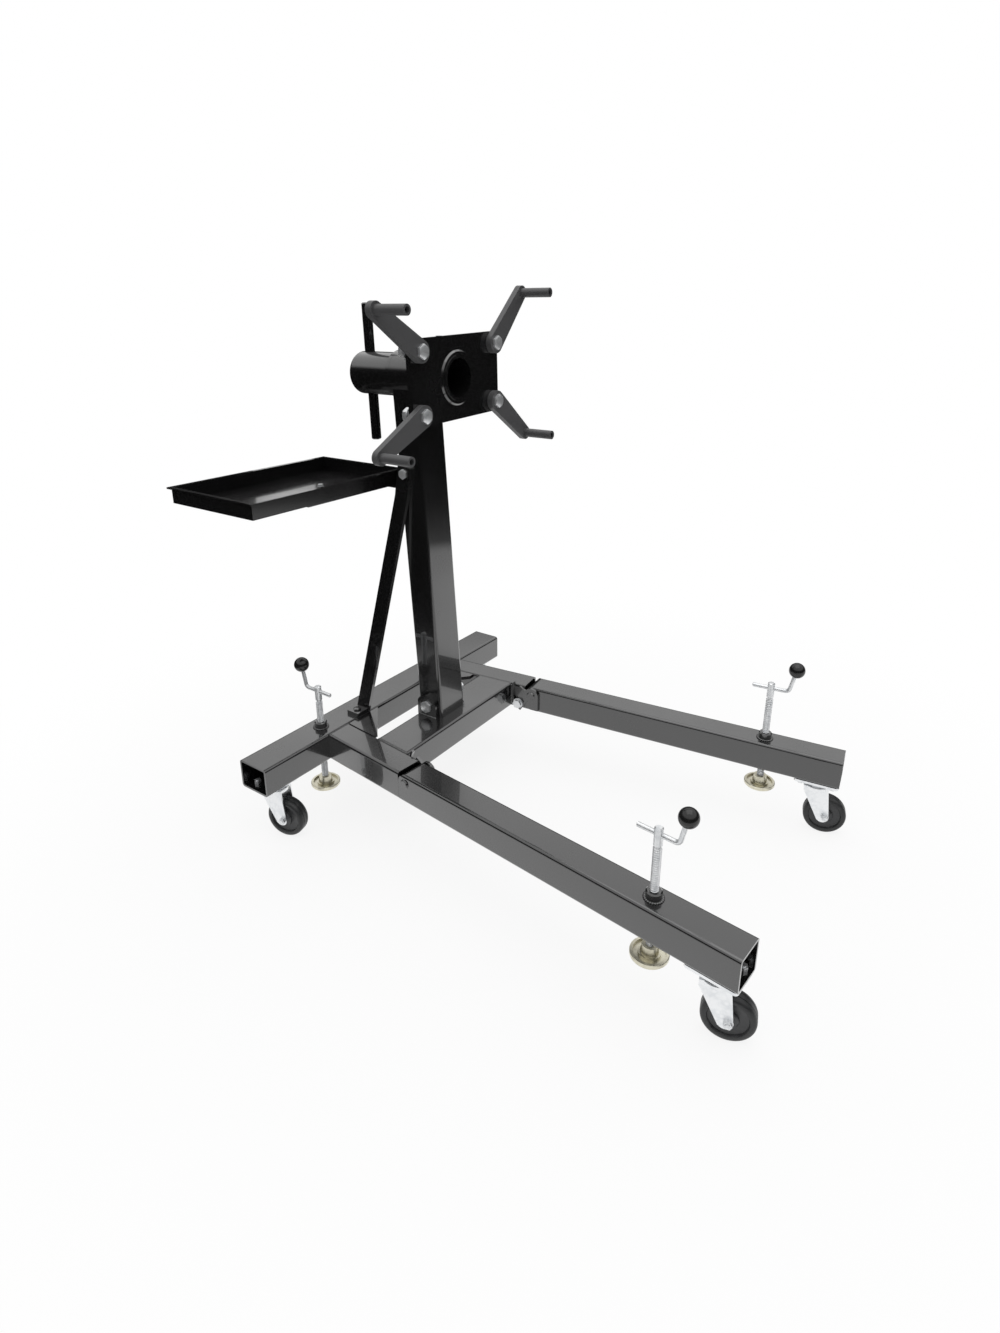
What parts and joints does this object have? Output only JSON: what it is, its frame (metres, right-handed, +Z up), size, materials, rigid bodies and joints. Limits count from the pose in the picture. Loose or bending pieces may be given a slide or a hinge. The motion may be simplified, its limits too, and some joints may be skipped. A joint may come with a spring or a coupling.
{
  "type": "folding engine stand",
  "caption": "Folding engine stand on swivel casters: leaning mast with a turning head, adjustable engine arms, side tool tray, fold-up legs and screw jacks with foot pads.",
  "frame": {"origin": "middle of the footprint box, on the floor", "axes": "+X towards the leg tips and the engine, +Y to the stand's left, +Z up"},
  "size_m": [1.117, 0.78, 1.0634],
  "materials": {
    "black_paint": "glossy enamel",
    "zinc_plate": "bright zinc plating",
    "yellow_zinc": "yellowish zinc plating",
    "knob_plastic": "glossy",
    "wheel_rubber": "satin"
  },
  "bodies": {
    "frame": {"rear_beam": "black_paint", "stub_left": "black_paint", "stub_right": "black_paint", "cross_tube": "black_paint", "corner_gussets": "black_paint", "mast": "black_paint", "mast_foot_bolt": "zinc_plate", "brace_left": "black_paint", "brace_right": "black_paint", "brace_bolts": "zinc_plate", "sleeve": "black_paint", "tray_bracket": "black_paint", "tray": "black_paint", "tray_ends": "black_paint", "tray_bolts": "zinc_plate", "leg_pivots": "black_paint", "clamp_bolts": "zinc_plate", "rear_caster_plates": "zinc_plate", "rear_caster_bolts": "zinc_plate"},
    "head": {"spindle": "black_paint", "face_plate": "black_paint", "thrust_washer": "zinc_plate", "retaining_collar": "black_paint", "handle_bar": "black_paint", "arm_bolts": "zinc_plate"},
    "lock": {"lock_screw": "zinc_plate"},
    "upper_left_arm": {"arm_upper_left": "black_paint"},
    "upper_right_arm": {"arm_upper_right": "black_paint"},
    "lower_left_arm": {"arm_lower_left": "black_paint"},
    "lower_right_arm": {"arm_lower_right": "black_paint"},
    "left_leg": {"leg_left": "black_paint", "caster_plate_front_left": "zinc_plate", "caster_bolts_front_left": "zinc_plate"},
    "right_leg": {"leg_right": "black_paint", "caster_plate_front_right": "zinc_plate", "caster_bolts_front_right": "zinc_plate"},
    "rear_left_pad": {"jack_pad_rear_left": "yellow_zinc"},
    "rear_left_screw": {"jack_screw_rear_left": "zinc_plate", "jack_knob_rear_left": "knob_plastic"},
    "rear_right_pad": {"jack_pad_rear_right": "yellow_zinc"},
    "rear_right_screw": {"jack_screw_rear_right": "zinc_plate", "jack_knob_rear_right": "knob_plastic"},
    "front_left_pad": {"jack_pad_front_left": "yellow_zinc"},
    "front_left_screw": {"jack_screw_front_left": "zinc_plate", "jack_knob_front_left": "knob_plastic"},
    "front_right_pad": {"jack_pad_front_right": "yellow_zinc"},
    "front_right_screw": {"jack_screw_front_right": "zinc_plate", "jack_knob_front_right": "knob_plastic"},
    "rear_left_fork": {"fork_rear_left": "zinc_plate", "axle_rear_left": "zinc_plate"},
    "rear_left_wheel": {"wheel_rear_left": "wheel_rubber"},
    "rear_right_fork": {"fork_rear_right": "zinc_plate", "axle_rear_right": "zinc_plate"},
    "rear_right_wheel": {"wheel_rear_right": "wheel_rubber"},
    "front_left_fork": {"fork_front_left": "zinc_plate", "axle_front_left": "zinc_plate"},
    "front_left_wheel": {"wheel_front_left": "wheel_rubber"},
    "front_right_fork": {"fork_front_right": "zinc_plate", "axle_front_right": "zinc_plate"},
    "front_right_wheel": {"wheel_front_right": "wheel_rubber"}
  },
  "joints": [
    {"name": "head_turn", "type": "hinge", "parent": "frame", "child": "head", "pos_m": [-0.18354, 0, 0.896], "axis": [1, 0, 0], "continuous": true},
    {"name": "upper_left_arm_swing", "type": "hinge", "parent": "head", "child": "upper_left_arm", "pos_m": [-0.18314, 0.11098, 0.95591], "axis": [1, 0, 0], "range_deg": [-54, 46]},
    {"name": "upper_right_arm_swing", "type": "hinge", "parent": "head", "child": "upper_right_arm", "pos_m": [-0.18314, -0.11489, 0.94802], "axis": [-1, 0, 0], "range_deg": [-44, 56]},
    {"name": "lower_left_arm_swing", "type": "hinge", "parent": "head", "child": "lower_left_arm", "pos_m": [-0.18314, 0.11489, 0.84398], "axis": [-1, 0, 0], "range_deg": [-48, 52]},
    {"name": "lower_right_arm_swing", "type": "hinge", "parent": "head", "child": "lower_right_arm", "pos_m": [-0.18314, -0.11098, 0.83609], "axis": [1, 0, 0], "range_deg": [-34, 66]},
    {"name": "lock_turn", "type": "hinge", "parent": "frame", "child": "lock", "pos_m": [-0.22631, 0, 0.958], "axis": [0, 0, 1], "range_deg": [-80, 720]},
    {"name": "left_leg_fold", "type": "hinge", "parent": "frame", "child": "left_leg", "pos_m": [-0.13185, 0.22106, 0.162], "axis": [0.1097, -0.994, 0], "range_deg": [0, 80]},
    {"name": "right_leg_fold", "type": "hinge", "parent": "frame", "child": "right_leg", "pos_m": [-0.13185, -0.22106, 0.162], "axis": [-0.1097, -0.994, 0], "range_deg": [0, 80]},
    {"name": "rear_left_pad_slide", "type": "slide", "parent": "frame", "child": "rear_left_pad", "axis": [0, 0, 1], "range_m": [-0.0401, 0.0561]},
    {"name": "rear_left_screw_turn", "type": "hinge", "parent": "rear_left_pad", "child": "rear_left_screw", "pos_m": [-0.40304, 0.211, 0.18], "axis": [0, 0, 1], "range_deg": [-3600, 5040]},
    {"name": "rear_right_pad_slide", "type": "slide", "parent": "frame", "child": "rear_right_pad", "axis": [0, 0, 1], "range_m": [-0.0401, 0.0561]},
    {"name": "rear_right_screw_turn", "type": "hinge", "parent": "rear_right_pad", "child": "rear_right_screw", "pos_m": [-0.40304, -0.211, 0.18], "axis": [0, 0, 1], "range_deg": [-3600, 5040]},
    {"name": "front_left_pad_slide", "type": "slide", "parent": "left_leg", "child": "front_left_pad", "axis": [0, 0, 1], "range_m": [-0.0701, 0.0241]},
    {"name": "front_left_screw_turn", "type": "hinge", "parent": "front_left_pad", "child": "front_left_screw", "pos_m": [0.3862, 0.27826, 0.18], "axis": [0, 0, 1], "range_deg": [-6300, 2160]},
    {"name": "front_right_pad_slide", "type": "slide", "parent": "right_leg", "child": "front_right_pad", "axis": [0, 0, 1], "range_m": [-0.0701, 0.0241]},
    {"name": "front_right_screw_turn", "type": "hinge", "parent": "front_right_pad", "child": "front_right_screw", "pos_m": [0.3862, -0.27826, 0.18], "axis": [0, 0, 1], "range_deg": [-6300, 2160]},
    {"name": "rear_left_swivel", "type": "hinge", "parent": "frame", "child": "rear_left_fork", "pos_m": [-0.40304, 0.34, 0.11], "axis": [0, 0, 1], "continuous": true},
    {"name": "rear_left_roll", "type": "hinge", "parent": "rear_left_fork", "child": "rear_left_wheel", "pos_m": [-0.38179, 0.34569, 0.041], "axis": [-0.2588, 0.9659, 0], "continuous": true},
    {"name": "rear_right_swivel", "type": "hinge", "parent": "frame", "child": "rear_right_fork", "pos_m": [-0.40304, -0.34, 0.11], "axis": [0, 0, 1], "continuous": true},
    {"name": "rear_right_roll", "type": "hinge", "parent": "rear_right_fork", "child": "rear_right_wheel", "pos_m": [-0.38179, -0.33431, 0.041], "axis": [-0.2588, 0.9659, 0], "continuous": true},
    {"name": "front_left_swivel", "type": "hinge", "parent": "left_leg", "child": "front_left_fork", "pos_m": [0.49554, 0.29033, 0.11], "axis": [0, 0, 1], "continuous": true},
    {"name": "front_left_roll", "type": "hinge", "parent": "front_left_fork", "child": "front_left_wheel", "pos_m": [0.51679, 0.29602, 0.041], "axis": [-0.2588, 0.9659, 0], "continuous": true},
    {"name": "front_right_swivel", "type": "hinge", "parent": "right_leg", "child": "front_right_fork", "pos_m": [0.49554, -0.29033, 0.11], "axis": [0, 0, 1], "continuous": true},
    {"name": "front_right_roll", "type": "hinge", "parent": "front_right_fork", "child": "front_right_wheel", "pos_m": [0.51679, -0.28463, 0.041], "axis": [-0.2588, 0.9659, 0], "continuous": true}
  ],
  "couplings": [
    {"joint": "rear_left_pad_slide", "follows": "rear_left_screw_turn", "m_per_rad": 0.00063662},
    {"joint": "rear_right_pad_slide", "follows": "rear_right_screw_turn", "m_per_rad": 0.00063662},
    {"joint": "front_left_pad_slide", "follows": "front_left_screw_turn", "m_per_rad": 0.00063662},
    {"joint": "front_right_pad_slide", "follows": "front_right_screw_turn", "m_per_rad": 0.00063662}
  ]
}
